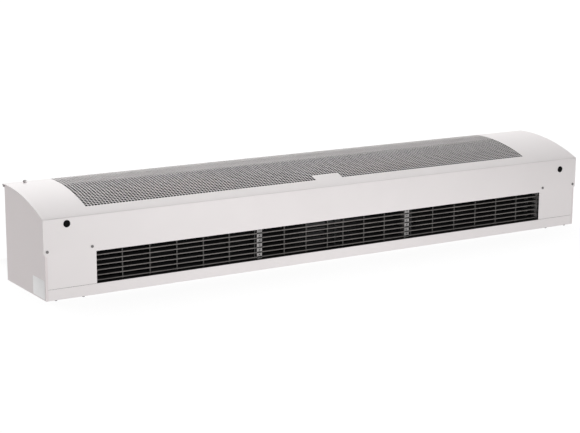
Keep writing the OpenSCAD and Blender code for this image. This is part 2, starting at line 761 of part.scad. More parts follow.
module impeller(side) {
    color(dark) seat() mirrored(side) on_axis(fan_x0) {
        for (i = [0 : fan_bays]) translate([0, 0, i * (fan_l - fan_disc_t) / fan_bays])
            tube(fan_r, i == 0 ? hub_r : i == fan_bays ? stub_r : fan_r - fan_blade_d - 3, fan_disc_t);
        for (k = [0 : fan_blades - 1]) rotate([0, 0, k * 360 / fan_blades])
            translate([0, 0, fan_disc_t / 2]) linear_extrude(fan_l - fan_disc_t) fan_blade();
    }
}

// Moulded hub that joins an impeller to the motor's shaft, with its clamp screw
module impeller_hub(side) {
    color(dark) seat() mirrored(side) on_axis(fan_x0 - 2) {
        tube(hub_r, shaft_r, hub_l);
        translate([0, 0, hub_l - 9]) tube(hub_r + 3, hub_r - eps, 3);
    }
}

module stub_shaft(side) {
    color(steel) seat() mirrored(side) on_axis(fan_x1 - 8) {
        cylinder(r = stub_r, h = duct_half + sheet_t / 2 + bush_l / 2 + 3 - fan_x1 + 8, $fn = fn_round);
        translate([0, 0, 8]) tube(stub_r + 5, stub_r - eps, 6);
    }
}

shaft_half = fan_x0 - 2 + hub_l + 4;
module motor_shaft() {
    color(steel) seat() on_axis(-shaft_half) cylinder(r = shaft_r, h = 2 * shaft_half, $fn = fn_round);
}

module motor_rotor() {
    color(steel) seat() on_axis(-core_l / 2) tube(rotor_r, shaft_r, core_l);
}

// ---- Motor ----

housing_half = motor_l / 2;
boss_end = housing_half + boss_l;

module motor_housing() {
    color(steel) seat() difference() {
        union() {
            on_axis(-housing_half) cylinder(r = motor_r, h = motor_l, $fn = fn_round);
            on_axis(-boss_end) cylinder(r = boss_r, h = 2 * boss_end, $fn = fn_round);
            // The flange where the two halves of the can are joined
            on_axis(-2) cylinder(r = motor_r + 2, h = 4, $fn = fn_round);
        }
        on_axis(-housing_half + motor_wall)
            cylinder(r = motor_r - motor_wall, h = motor_l - 2 * motor_wall, $fn = fn_round);
        on_axis(-boss_end + 2) cylinder(r = bearing_r, h = 2 * boss_end - 4, $fn = fn_round);
        on_axis(-boss_end - 1) cylinder(r = bearing_r - 2, h = 2 * boss_end + 2, $fn = fn_round);
        // Cooling slots in both end shields
        for (k = [0 : 7]) translate([0, axis_y, axis_z]) rotate([k * 45 + 22.5, 0, 0])
            translate([-housing_half - 1, boss_r + 5, -4]) cube([motor_l + 2, motor_r - boss_r - 14, 8]);
    }
}

module motor_stator() {
    color([0.72, 0.45, 0.25]) seat() on_axis(-core_l / 2) linear_extrude(core_l) difference() {
        circle(r = motor_r - motor_wall, $fn = fn_round);
        circle(r = rotor_r + air_gap, $fn = fn_round);
        for (k = [0 : 11]) rotate(k * 30) translate([rotor_r + air_gap - 1, -1.5]) square([8, 3]);
    }
}

module motor_bearing(side) {
    color(steel) seat() mirrored(side) on_axis(boss_end - 2 - bearing_w)
        tube(bearing_r, shaft_r + run_gap, bearing_w);
}

module motor_rubber_ring(side) {
    color(dark) seat() mirrored(side) on_axis(housing_half) tube(boss_r + ring_t, boss_r, boss_l - 1);
}

cradle_x = housing_half + (boss_l - 1) / 2;
cradle_hole_r = 22;

// Bent bracket with two uprights that carry the rubber rings in half-round seats
module motor_cradle() {
    color(zinc) seat() difference() {
        union() {
            translate([-cradle_x - 1.5, axis_y - cradle_w / 2, sheet_t])
                cube([2 * cradle_x + 3, cradle_w, cradle_t]);
            for (s = [-1, 1]) translate([s * cradle_x - cradle_t / 2, axis_y - cradle_w / 2, sheet_t])
                cube([cradle_t, cradle_w, axis_z - sheet_t]);
        }
        on_axis(-cradle_x - cradle_t)
            cylinder(r = boss_r + ring_t, h = 2 * cradle_x + 2 * cradle_t, $fn = fn_round);
        // Lightening hole in each upright
        translate([-cradle_x - cradle_t, axis_y, (axis_z - boss_r - ring_t) / 2]) rotate([0, 90, 0])
            cylinder(r = cradle_hole_r, h = 2 * cradle_x + 2 * cradle_t, $fn = fn_round);
    }
}

// Strap over each rubber ring, its ears seated on the cradle's uprights
module motor_strap(side) {
    band_r = boss_r + ring_t;
    color(zinc) seat() mirrored(side) {
        along_x(cradle_x - 4, cradle_x + 4) {
            intersection() {
                translate([axis_y, axis_z]) difference() {
                    circle(r = band_r + 1.5, $fn = fn_round);
                    circle(r = band_r, $fn = fn_round);
                }
                translate([0, axis_z]) square([body_d, body_d]);
            }
            for (s = [-1, 1]) translate([axis_y + s * (band_r + 6) - 5.5, axis_z]) square([11, 1.5]);
        }
    }
}

// ---- Outer bearings ----

bush_x = duct_half + sheet_t / 2 - bush_l / 2;
module bearing_bush(side) {
    color([0.75, 0.58, 0.32]) seat() mirrored(side) on_axis(bush_x) tube(bush_r, stub_r + run_gap, bush_l);
}

// Rubber ring with a groove that snaps into the end plate's hole
module bearing_rubber(side) {
    color(dark) seat() mirrored(side) on_axis(duct_half - 4) difference() {
        cylinder(r = bush_rubber_r, h = 8 + sheet_t, $fn = fn_round);
        translate([0, 0, -1]) cylinder(r = bush_r, h = 10 + sheet_t, $fn = fn_round);
        translate([0, 0, 4]) tube(bush_rubber_r + 1, bush_hole_r, sheet_t);
    }
}

// ---- Heating elements ----

finned_half = outlet_half - support_in - 4;
element_half = duct_half + sheet_t + cold_l;
fin_count = floor(2 * finned_half / fin_pitch);
fin_x0 = -(fin_count - 1) * fin_pitch / 2 - fin_t / 2;

// Half outline of a finned tube with a threaded terminal pin at each end
function fin_pts(k) =
    let (x = fin_x0 + k * fin_pitch) [[tube_r, x], [fin_r, x], [fin_r, x + fin_t], [tube_r, x + fin_t]];
module heating_element(k) {
    pin_r = 2;
    pin_l = 10;
    outline = concat(
        [[0, -element_half - pin_l], [pin_r, -element_half - pin_l], [pin_r, -element_half],
         [tube_r, -element_half]],
        [for (i = [0 : fin_count - 1]) each fin_pts(i)],
        [[tube_r, element_half], [pin_r, element_half], [pin_r, element_half + pin_l],
         [0, element_half + pin_l]]);
    color([0.35, 0.34, 0.33]) seat() round_x(0, heater_y, heater_zs[k])
        rotate_extrude($fn = fn_small) polygon(outline);
}

// Upright comb that holds the three elements: each tube lies in a slot that is open
// towards the back. It stands on the scroll.
module heater_support(x) {
    w = 2 * fin_r + 6;
    slot_r = tube_r + heater_gap;
    color(zinc) seat() translate([x - duct_t / 2, 0, 0]) difference() {
        translate([0, heater_y - w / 2, opening_z0]) cube([duct_t, w, tongue_z - opening_z0]);
        for (z = heater_zs) {
            round_x(-1, heater_y, z) cylinder(r = slot_r, h = duct_t + 2, $fn = fn_round);
            translate([-1, heater_y, z - slot_r]) cube([duct_t + 2, w, 2 * slot_r]);
        }
    }
}
outer_support_x = outlet_half - support_in;
// The inner ones stand behind the posts, in the nearest gap between two fins
mid_support_x = (round(post_x / fin_pitch - fin_count / 2) + fin_count / 2) * fin_pitch;

// Bimetal disc cut-out on the left end plate, beside the elements: a round body that
// steps down to its cap, an oval flange for two screws and two flat terminal blades
cutout_r = 8;
cutout_h = 9;
cutout_flange_t = 1.2;
cutout_ear_y = 12;
cutout_ear_r = 4;
blade_w = 6;
blade_thick = 0.8;
module overheat_cutout() {
    color([0.85, 0.82, 0.75]) seat()
        round_x(-duct_half - sheet_t - cutout_h, heater_y + 26, heater_z + heater_pitch) {
            cylinder(r = cutout_r - 1, h = cutout_h - eps, $fn = fn_round);
            translate([0, 0, 2]) cylinder(r = cutout_r, h = cutout_h - 2, $fn = fn_round);
            translate([0, 0, cutout_h - cutout_flange_t]) linear_extrude(cutout_flange_t) difference() {
                union() {
                    translate([-cutout_ear_r, -cutout_ear_y]) square([2 * cutout_ear_r, 2 * cutout_ear_y]);
                    for (y = [-cutout_ear_y, cutout_ear_y])
                        translate([0, y]) circle(r = cutout_ear_r, $fn = fn_small);
                }
                for (y = [-cutout_ear_y, cutout_ear_y]) translate([0, y]) circle(r = 1.7, $fn = fn_small);
            }
            for (y = [-4, 4]) translate([-blade_w / 2, y - blade_thick / 2, -7])
                cube([blade_w, blade_thick, 7 + eps]);
        }
}

// ---- Electrical parts in the left end bay ----

// Supply terminals on the base: for each way a screw shaft from above and a wire entry
// from either side, with a slit between the ways
bay_floor_x = -inner_half + foot_flange_w + 2;
terminal_w = 22;
terminal_foot_h = 8;
terminal_h = 20;
terminal_step = 4;
wire_entry_h = 11;
wire_entry_r = 2.2;
screw_shaft_r = 2.6;
module terminal_block() {
    l = terminal_ways * terminal_pitch;
    color([0.92, 0.92, 0.88]) seat() translate([bay_floor_x, body_d / 2 - l / 2, sheet_t]) difference() {
        translate([0, l, 0]) rotate([90, 0, 0]) linear_extrude(l) polygon([
            [0, 0], [terminal_w, 0], [terminal_w, terminal_foot_h],
            [terminal_w - terminal_step, terminal_foot_h + 1], [terminal_w - terminal_step, terminal_h - 2],
            [terminal_w - terminal_step - 2, terminal_h], [terminal_step + 2, terminal_h],
            [terminal_step, terminal_h - 2], [terminal_step, terminal_foot_h + 1], [0, terminal_foot_h]]);
        for (k = [0 : terminal_ways - 1]) translate([terminal_w / 2, (k + 0.5) * terminal_pitch, 0]) {
            translate([0, 0, terminal_h - 6]) cylinder(r = screw_shaft_r, h = 10, $fn = fn_small);
            translate([-terminal_w, 0, wire_entry_h]) rotate([0, 90, 0])
                cylinder(r = wire_entry_r, h = 2 * terminal_w, $fn = fn_small);
        }
        for (k = [1 : terminal_ways - 1]) translate([-1, k * terminal_pitch - 0.5, terminal_h - 3])
            cube([terminal_w + 2, 1, 10]);
    }
}

// Three-pole contactor for the elements: foot with rounded mounting ears, body with a
// screw shaft and a wire entry for each pole at both ends, and the hood of its armature
// with the slot through which the carrier shows
contactor_l = 56;
contactor_h = 40;
contactor_hood_h = 18;
contactor_hood_in = 12;
contactor_foot = 5;
contactor_edge = 3;
pole_r = 3.2;
module heater_contactor() {
    pole_pitch = contactor_w / 3;
    contactor_x = -duct_half - sheet_t - foot_flange_w - 2 - contactor_w;
    hood_top = contactor_h + contactor_hood_h;
    hood_in = contactor_hood_in + 1;
    color([0.25, 0.26, 0.28]) seat()
        translate([contactor_x, body_d / 2 - contactor_l / 2, sheet_t])
            difference() {
                rotate([90, 0, 90]) linear_extrude(contactor_w) polygon([
                    [-contactor_edge, 0], [contactor_l + contactor_edge, 0],
                    [contactor_l + contactor_edge, contactor_foot], [contactor_l, contactor_foot],
                    [contactor_l, contactor_h - contactor_edge], [contactor_l - contactor_edge, contactor_h],
                    [contactor_l - contactor_hood_in, contactor_h],
                    [contactor_l - hood_in, hood_top - contactor_edge],
                    [contactor_l - hood_in - contactor_edge, hood_top],
                    [hood_in + contactor_edge, hood_top], [hood_in, hood_top - contactor_edge],
                    [contactor_hood_in, contactor_h], [contactor_edge, contactor_h],
                    [0, contactor_h - contactor_edge], [0, contactor_foot],
                    [-contactor_edge, contactor_foot]]);
                // The hood is narrower than the body
                for (x = [-1, contactor_w - contactor_edge])
                    translate([x, contactor_hood_in - 1, contactor_h])
                        cube([contactor_edge + 1, contactor_l, contactor_hood_h + 1]);
                for (k = [0 : 2]) translate([(k + 0.5) * pole_pitch, 0, 0]) {
                    for (y = [contactor_hood_in / 2, contactor_l - contactor_hood_in / 2])
                        translate([0, y, contactor_h - 10]) cylinder(r = pole_r, h = 12, $fn = fn_small);
                    for (y = [-1, contactor_l - 5]) translate([-pole_r, y, contactor_h - 22])
                        cube([2 * pole_r, 6, 2 * pole_r]);
                }
                // Slot over the armature's carrier
                translate([contactor_w / 2 - 8, contactor_l / 2 - 3, hood_top - 2])
                    cube([16, 6, 4]);
            }
}

// Run capacitor lying in its clip on the left end plate: a drawn can with a rolled rim
// and an end disc, on which two flat blades stand
capacitor_rim = 1;
capacitor_clip_w = 10;
capacitor_foot_h = 16;
module motor_capacitor() {
    clip_x = -duct_half - sheet_t - capacitor_r - 2;
    z = axis_z + bush_rubber_r + capacitor_r + 8;
    mid = capacitor_l / 2;
    color([0.8, 0.8, 0.82]) seat() {
        translate([clip_x, axis_y, z]) rotate([-90, 0, 0]) {
            rotate_extrude($fn = fn_round) polygon([
                [0, 1], [capacitor_r - 2, 1], [capacitor_r - 2, 0], [capacitor_r, 0], [capacitor_r, 3],
                [capacitor_r - capacitor_rim, 4], [capacitor_r - capacitor_rim, 5.5], [capacitor_r, 6.5],
                [capacitor_r, mid - capacitor_clip_w / 2], [capacitor_r + 1, mid - capacitor_clip_w / 2],
                [capacitor_r + 1, mid + capacitor_clip_w / 2], [capacitor_r, mid + capacitor_clip_w / 2],
                [capacitor_r, capacitor_l - 1.5], [capacitor_r - 1.5, capacitor_l], [0, capacitor_l]]);
            for (x = [-5, 5]) translate([x - blade_thick / 2, -blade_w / 2, -8])
                cube([blade_thick, blade_w, 9 + eps]);
        }
        translate([clip_x, axis_y + mid - capacitor_clip_w / 2, z - capacitor_foot_h / 2])
            cube([capacitor_r + 2, capacitor_clip_w, capacitor_foot_h]);
    }
}

// Rubber grommets in the rear wall: a groove holds the sheet between two flanges
grommet_rim = 2.5;
module cable_grommets() {
    grommet_l = sheet_t + 2 * grommet_flange;
    flange_r = grommet_hole_r + grommet_rim;
    edge = 0.6;
    color(dark) seat() for (x = grommet_x)
        translate([x, rear_in - grommet_flange, grommet_z]) rotate([-90, 0, 0])
            rotate_extrude($fn = fn_round) polygon([
                [cable_r, 0], [flange_r - edge, 0], [flange_r, edge], [flange_r, grommet_flange],
                [grommet_hole_r, grommet_flange], [grommet_hole_r, grommet_flange + sheet_t],
                [flange_r, grommet_flange + sheet_t], [flange_r, grommet_l - edge],
                [flange_r - edge, grommet_l], [cable_r, grommet_l]]);
}

base_tray();
end_panel(-1);  // end_panel_left
end_panel(1);  // end_panel_right
front_side_plate(-1);  // front_side_plate_left
front_side_plate(1);  // front_side_plate_right
top_cover();
hole_plugs();
cover_front_screws();
cover_rear_screw();
base_front_screws();
blank_label();
side_grille(-1);  // outlet_grille_left
outlet_grille_centre();
side_grille(1);  // outlet_grille_right
grille_post(-1);  // grille_post_left
grille_post(1);  // grille_post_right
grille_end_comb(-1);  // grille_end_comb_left
grille_end_comb(1);  // grille_end_comb_right
vortex_tongue(-1);  // vortex_tongue_left
vortex_tongue(1);  // vortex_tongue_right
scroll(-1);  // scroll_left
scroll(1);  // scroll_right
duct_end_plate(-1);  // duct_end_plate_left
duct_end_plate(1);  // duct_end_plate_right
motor_bay_plate(-1);  // motor_bay_plate_left
motor_bay_plate(1);  // motor_bay_plate_right
plate_screws();
impeller(-1);  // impeller_left
impeller(1);  // impeller_right
impeller_hub(-1);  // impeller_hub_left
impeller_hub(1);  // impeller_hub_right
stub_shaft(-1);  // stub_shaft_left
stub_shaft(1);  // stub_shaft_right
motor_shaft();
motor_rotor();
motor_housing();
motor_stator();
motor_bearing(-1);  // motor_bearing_left
motor_bearing(1);  // motor_bearing_right
motor_rubber_ring(-1);  // motor_rubber_ring_left
motor_rubber_ring(1);  // motor_rubber_ring_right
motor_cradle();
motor_strap(-1);  // motor_strap_left
motor_strap(1);  // motor_strap_right
bearing_bush(-1);  // bearing_bush_left
bearing_bush(1);  // bearing_bush_right
bearing_rubber(-1);  // bearing_rubber_left
bearing_rubber(1);  // bearing_rubber_right
heating_element(2);  // heating_element_top
heating_element(1);  // heating_element_middle
heating_element(0);  // heating_element_bottom
heater_support(-outer_support_x);  // heater_support_left
heater_support(outer_support_x);  // heater_support_right
heater_support(-mid_support_x);  // heater_support_mid_left
heater_support(mid_support_x);  // heater_support_mid_right
overheat_cutout();
terminal_block();
heater_contactor();
motor_capacitor();
cable_grommets();
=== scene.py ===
import math

import bpy
from mathutils import Matrix, Vector


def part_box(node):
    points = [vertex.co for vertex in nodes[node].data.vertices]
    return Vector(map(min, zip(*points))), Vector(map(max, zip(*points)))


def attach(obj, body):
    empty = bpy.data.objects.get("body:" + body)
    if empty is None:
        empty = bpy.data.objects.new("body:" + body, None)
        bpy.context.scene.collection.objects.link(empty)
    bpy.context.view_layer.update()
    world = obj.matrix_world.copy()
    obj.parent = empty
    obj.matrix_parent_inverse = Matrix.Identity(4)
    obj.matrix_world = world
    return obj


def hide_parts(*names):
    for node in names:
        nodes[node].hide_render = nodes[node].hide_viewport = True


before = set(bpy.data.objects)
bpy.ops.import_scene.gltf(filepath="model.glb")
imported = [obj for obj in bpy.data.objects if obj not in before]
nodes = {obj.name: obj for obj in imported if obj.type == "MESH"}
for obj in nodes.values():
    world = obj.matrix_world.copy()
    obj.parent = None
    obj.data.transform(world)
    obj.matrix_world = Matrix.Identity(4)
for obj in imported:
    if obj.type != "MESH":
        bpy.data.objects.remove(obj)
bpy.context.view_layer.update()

# ---- Camera ----
# The photograph was taken with a long lens, from the left in front of the casing and
# a little above it.
camera_place = (-2.0973, -3.2079, 0.9143)
camera_pan = math.radians(-32.271)
camera_tilt = math.radians(-12.119)
camera_roll = math.radians(0.24)
bpy.ops.object.camera_add(location=camera_place)
camera = bpy.context.object
camera.name = "camera"
camera.data.sensor_width = 36
camera.data.lens = 92.72
camera.rotation_euler = (
    Matrix.Rotation(camera_pan, 3, "Z")
    @ Matrix.Rotation(math.pi / 2 + camera_tilt, 3, "X")
    @ Matrix.Rotation(camera_roll, 3, "Z")
).to_euler()
bpy.context.scene.camera = camera
bpy.context.scene.view_settings.view_transform = "Standard"

# ---- Floor and studio light ----
# A pale floor, lit through from below like a studio's white table. Broad soft patches of light
# stand far off behind, above and to the right, and two small soft boxes low in front.
MM = 0.001
floor_size = 60
floor_drop = 0.3 * MM
floor_glow = 0.92


def nothing_selected():
    bpy.ops.object.select_all(action="DESELECT")


def studio_paint(piece, name, grey):
    """Paints a piece of the studio in a plain grey, and gives back the paint's shader."""
    paint = bpy.data.materials.new(name)
    paint.use_nodes = True
    shader = paint.node_tree.nodes["Principled BSDF"]
    shader.inputs["Base Color"].default_value = (grey, grey, grey, 1)
    piece.data.materials.append(paint)
    return shader


nothing_selected()
bpy.ops.mesh.primitive_plane_add(size=floor_size, location=(0, 0, -floor_drop))
floor = bpy.context.object
floor.name = "floor"
floor_shader = studio_paint(floor, "floor_paint", 0.06)
floor_shader.inputs["Roughness"].default_value = 0.9
floor_shader.inputs["Emission Color"].default_value = (1, 1, 1, 1)
floor_shader.inputs["Emission Strength"].default_value = floor_glow

# A dark flag behind the casing keeps the floor's glare off its rear wall; no camera sees it
flag_length = 1.5
flag_height = 0.25
flag_y = 0.34
nothing_selected()
bpy.ops.mesh.primitive_plane_add(size=1, location=(0, flag_y, flag_height / 2),
                                 rotation=(math.pi / 2, 0, 0))
flag = bpy.context.object
flag.name = "light_flag"
flag.scale = (flag_length, flag_height, 1)
studio_paint(flag, "flag_cloth", 0.02)
flag.visible_camera = False


def soft_box(name, place, aim, width, height, power):
    """A rectangular light at a place, turned towards its aim, that no camera sees."""
    bpy.ops.object.light_add(type="AREA", location=place)
    light = bpy.context.object
    light.name = name
    light.data.shape = "RECTANGLE"
    light.data.size = width
    light.data.size_y = height
    light.data.energy = power
    light.visible_camera = False
    direction = Vector(aim) - Vector(place)
    light.rotation_euler = direction.to_track_quat("-Z", "Y").to_euler()


soft_box("front_low", place=(-0.1, -2.2, 0.3), aim=(-0.1, 0, 0.15),
         width=1.6, height=0.5, power=8.1)
soft_box("front_near", place=(-0.15, -1.2, 0.5), aim=(-0.15, 0, 0.12),
         width=1.0, height=0.5, power=4.1)

# Each patch of the surround: the way to its middle, and how bright that is
patches = [
    ((0, 1, 0.15), 0.78),
    ((0.7, 0.7, 0.15), 0.62),
    ((1, 0, 0.15), 2.31),
    ((0, 0.7, 0.7), 3.67),
]
patch_falloff = 6
surround = bpy.data.worlds.new("surround")
surround.use_nodes = True
sky = surround.node_tree
sky_shader = sky.nodes["Background"]
sky_shader.inputs["Color"].default_value = (1, 1, 1, 1)
sky_way = sky.nodes.new("ShaderNodeTexCoord")


def sky_math(operation, first, second, third=0):
    """One step of the surround's sum; each value is a number or another node's socket."""
    step = sky.nodes.new("ShaderNodeMath")
    step.operation = operation
    for socket, value in zip(step.inputs, (first, second, third)):
        if isinstance(value, (int, float)):
            socket.default_value = value
        else:
            sky.links.new(value, socket)
    return step.outputs["Value"]


patch_sum = 0
for way, brightness in patches:
    facing = sky.nodes.new("ShaderNodeVectorMath")
    facing.operation = "DOT_PRODUCT"
    facing.inputs[1].default_value = Vector(way).normalized()
    sky.links.new(sky_way.outputs["Generated"], facing.inputs[0])
    ahead = sky_math("MAXIMUM", facing.outputs["Value"], 0)
    falloff = sky_math("POWER", ahead, patch_falloff)
    patch_sum = sky_math("MULTIPLY_ADD", falloff, brightness, patch_sum)

# The camera itself sees plain white behind the floor
sky_ray = sky.nodes.new("ShaderNodeLightPath")
seen_sky = sky_math("MAXIMUM", patch_sum, sky_ray.outputs["Is Camera Ray"])
sky.links.new(seen_sky, sky_shader.inputs["Strength"])
bpy.context.scene.world = surround


# ---- Base tray, end panels and side plates ----
# Bent sheet steel, 0.8 mm thick, spot-welded and screwed, with a white powder coat
# baked over it: satin, with a faint orange peel.
def new_effect(name, inputs, outputs):
    """An empty node group with its sockets, and the nodes that its inputs and outputs use."""
    group = bpy.data.node_groups.new(name, "ShaderNodeTree")
    for socket, kind in inputs:
        group.interface.new_socket(socket, in_out="INPUT", socket_type=kind)
    for socket in outputs:
        group.interface.new_socket(socket, in_out="OUTPUT", socket_type="NodeSocketFloat")
    return group, group.nodes.new("NodeGroupInput"), group.nodes.new("NodeGroupOutput")


def add_noise(group, vector, scale, detail):
    """A noise in a node group; its scale comes from a socket."""
    noise = group.nodes.new("ShaderNodeTexNoise")
    noise.inputs["Detail"].default_value = detail
    group.links.new(vector, noise.inputs["Vector"])
    group.links.new(scale, noise.inputs["Scale"])
    return noise


effect_inputs = [
    ("Vector", "NodeSocketVector"),
    ("Grain", "NodeSocketFloat"),
    ("Clouds", "NodeSocketFloat"),
]

# Fine grain for the relief, and wide clouds for the tone
grain, grain_in, grain_out = new_effect("grain_and_clouds", effect_inputs, ["Relief", "Tone"])
fine = add_noise(grain, grain_in.outputs["Vector"], grain_in.outputs["Grain"], detail=2)
wide = add_noise(grain, grain_in.outputs["Vector"], grain_in.outputs["Clouds"], detail=3)
grain.links.new(fine.outputs["Fac"], grain_out.inputs["Relief"])
grain.links.new(wide.outputs["Fac"], grain_out.inputs["Tone"])

# Tones under the first of these have a finish's first colour, and tones over the other its second
low_tone = 0.3
high_tone = 0.7


def finish(name, effect, grain_size, cloud_size, colours, roughness, relief, metallic=0.0,
           gloss=0.5, stretch=(1, 1, 1)):
    """A finish: it wanders between two colours and between two values of roughness, and its
    relief stands up by a real height. Sizes are in metres."""
    material = bpy.data.materials.new(name)
    material.use_nodes = True
    tree = material.node_tree
    shader = tree.nodes["Principled BSDF"]
    shader.inputs["Metallic"].default_value = metallic
    shader.inputs["Specular IOR Level"].default_value = gloss
    place = tree.nodes.new("ShaderNodeTexCoord")
    scale = tree.nodes.new("ShaderNodeMapping")
    scale.inputs["Scale"].default_value = stretch
    tree.links.new(place.outputs["Object"], scale.inputs["Vector"])
    pattern = tree.nodes.new("ShaderNodeGroup")
    pattern.node_tree = effect
    tree.links.new(scale.outputs["Vector"], pattern.inputs["Vector"])
    pattern.inputs["Grain"].default_value = 1 / grain_size
    pattern.inputs["Clouds"].default_value = 1 / cloud_size
    tint = tree.nodes.new("ShaderNodeValToRGB")
    for stop, tone, colour in zip(tint.color_ramp.elements, (low_tone, high_tone), colours):
        stop.position = tone
        stop.color = (*colour, 1)
    tree.links.new(pattern.outputs["Tone"], tint.inputs["Fac"])
    tree.links.new(tint.outputs["Color"], shader.inputs["Base Color"])
    polish = tree.nodes.new("ShaderNodeMapRange")
    polish.inputs["From Min"].default_value = low_tone
    polish.inputs["From Max"].default_value = high_tone
    polish.inputs["To Min"].default_value = roughness[0]
    polish.inputs["To Max"].default_value = roughness[1]
    tree.links.new(pattern.outputs["Tone"], polish.inputs["Value"])
    tree.links.new(polish.outputs["Result"], shader.inputs["Roughness"])
    bump = tree.nodes.new("ShaderNodeBump")
    bump.inputs["Strength"].default_value = 1.0
    bump.inputs["Distance"].default_value = relief
    tree.links.new(pattern.outputs["Relief"], bump.inputs["Height"])
    tree.links.new(bump.outputs["Normal"], shader.inputs["Normal"])
    return material


# A mask of all that lies within a box, from the box's middle and its reach to each side
box_zone, zone_in, zone_out = new_effect(
    "within_box",
    [("Vector", "NodeSocketVector"), ("Middle", "NodeSocketVector"), ("Reach", "NodeSocketVector")],
    ["Inside"])


def vector_step(operation, *sources):
    """One step of the mask's vector sum."""
    step = box_zone.nodes.new("ShaderNodeVectorMath")
    step.operation = operation
    for source, socket in zip(sources, step.inputs):
        box_zone.links.new(source, socket)
    return step.outputs["Vector"]


off_middle = vector_step("SUBTRACT", zone_in.outputs["Vector"], zone_in.outputs["Middle"])
to_sides = vector_step("SUBTRACT", zone_in.outputs["Reach"], vector_step("ABSOLUTE", off_middle))
spare = box_zone.nodes.new("ShaderNodeSeparateXYZ")
box_zone.links.new(to_sides, spare.inputs["Vector"])
nearest_side = spare.outputs["X"]
for axis in "YZ":
    smaller = box_zone.nodes.new("ShaderNodeMath")
    smaller.operation = "MINIMUM"
    box_zone.links.new(nearest_side, smaller.inputs[0])
    box_zone.links.new(spare.outputs[axis], smaller.inputs[1])
    nearest_side = smaller.outputs["Value"]
within = box_zone.nodes.new("ShaderNodeMath")
within.operation = "GREATER_THAN"
within.inputs[1].default_value = 0
box_zone.links.new(nearest_side, within.inputs[0])
box_zone.links.new(within.outputs["Value"], zone_out.inputs["Inside"])


def paint_within(material, boxes, colour):
    """Another colour over a finish, wherever a piece lies in one of the boxes. Each box is given
    by its lowest and its highest corner."""
    tree = material.node_tree
    shader = tree.nodes["Principled BSDF"]
    place = tree.nodes.new("ShaderNodeTexCoord")
    for low, high in boxes:
        zone = tree.nodes.new("ShaderNodeGroup")
        zone.node_tree = box_zone
        zone.inputs["Middle"].default_value = (Vector(low) + Vector(high)) / 2
        zone.inputs["Reach"].default_value = (Vector(high) - Vector(low)) / 2
        tree.links.new(place.outputs["Object"], zone.inputs["Vector"])
        coat = tree.nodes.new("ShaderNodeMixRGB")
        coat.inputs["Color2"].default_value = (*colour, 1)
        tree.links.new(zone.outputs["Inside"], coat.inputs["Fac"])
        tree.links.new(shader.inputs["Base Color"].links[0].from_socket, coat.inputs["Color1"])
        tree.links.new(coat.outputs["Color"], shader.inputs["Base Color"])


def dress(names, material):
    """Gives the named pieces of the frame their finish."""
    for name in names:
        nodes[name].data.materials.clear()
        nodes[name].data.materials.append(material)


casing_white = [(0.785, 0.745, 0.744), (0.815, 0.774, 0.773)]
# The end panels take a darker copy of the casing's white: painted shade on the end faces
end_panel_shaded_white = [(0.745, 0.685, 0.685), (0.775, 0.713, 0.713)]


def powder_coat(name, colours=casing_white):
    return finish(name, grain, grain_size=1.6 * MM, cloud_size=180 * MM, colours=colours,
                  roughness=(0.36, 0.44), relief=0.012 * MM)


dress(["end_panel_left", "end_panel_right"],
      powder_coat("end_panel_powder_coat_shaded", end_panel_shaded_white))

# Painted shade: a dark band in the joint where each side plate steps back behind the tray's strip
plate_coat = powder_coat("side_plate_powder_coat")
joint_foot = 28.9 * MM
joint_top = 29.75 * MM
right_plate_low, right_plate_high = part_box("front_side_plate_right")
joint_shade_band = ((-right_plate_high.x, right_plate_low.y - MM, joint_foot),
               (right_plate_high.x, right_plate_high.y, joint_top))
paint_within(plate_coat, [joint_shade_band], (0.16, 0.15, 0.15))
dress(["front_side_plate_left", "front_side_plate_right"], plate_coat)

# The air's way through the tray is sprayed black: its floor, apart from a narrow front edge, and
# its rear wall up to the top of the scrolls
tray_coat = powder_coat("tray_white_and_black")
tray_low, tray_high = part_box("base_tray")
scroll_low, scroll_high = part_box("scroll_left")
sheet_half = 0.4 * MM
pad_height = 3 * MM
white_edge = 1.5 * MM
air_way = ((scroll_low.x, tray_low.y + white_edge, tray_low.z + pad_height + sheet_half),
           (-scroll_low.x, tray_high.y - sheet_half, scroll_high.z))
paint_within(tray_coat, [air_way], (0.010, 0.010, 0.010))
dress(["base_tray"], tray_coat)

# ---- Perforated cover ----
# One sheet of the same steel: the arched top is punched with 6.4 mm square holes at 8 mm,
# apart from a bare tab at the front, and the last row runs over the rear bend. Then the sheet
# is rolled, bent at the front and folded in at the rear.
cover_low, cover_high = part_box("top_cover")
panel_low, panel_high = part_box("end_panel_right")
casing_half = panel_high.x
casing_front = panel_low.y
casing_floor = tray_low.z + pad_height
casing_depth = 234 * MM
sheet = casing_front - cover_low.y
hole_pitch = 8 * MM
hole_width = 6.4 * MM
hole_columns = 166
hole_rows = 27
holes_from_left = 118 * MM
holes_from_bend = 35 * MM
tab_columns = (80, 90)
tab_rows = 3
arch_radius = 532 * MM
bend_height = 191 * MM
tip_height = 237 * MM
tip_depth = cover_high.y - casing_front
lip_height = 8 * MM
lip_depth = casing_depth + sheet
corner_cut = 6 * MM
bend_rounding = 1.1 * MM
rear_rounding = bend_rounding / 2
smooth_below = math.radians(30)

# The arch runs through the front bend and the rear tip
chord = Vector((tip_depth, tip_height - bend_height))
square_to_chord = Vector((-chord.y, chord.x)).normalized()
arch_rise = math.sqrt(arch_radius**2 - chord.length_squared / 4)
arch_middle = Vector((0, bend_height)) + chord / 2 - square_to_chord * arch_rise
bend_angle = math.asin(-arch_middle.x / arch_radius)
tip_angle = math.asin((tip_depth - arch_middle.x) / arch_radius)
arch_length = arch_radius * (tip_angle - bend_angle)
lip = Vector((lip_depth - tip_depth, -lip_height))
lip_way = lip.normalized()


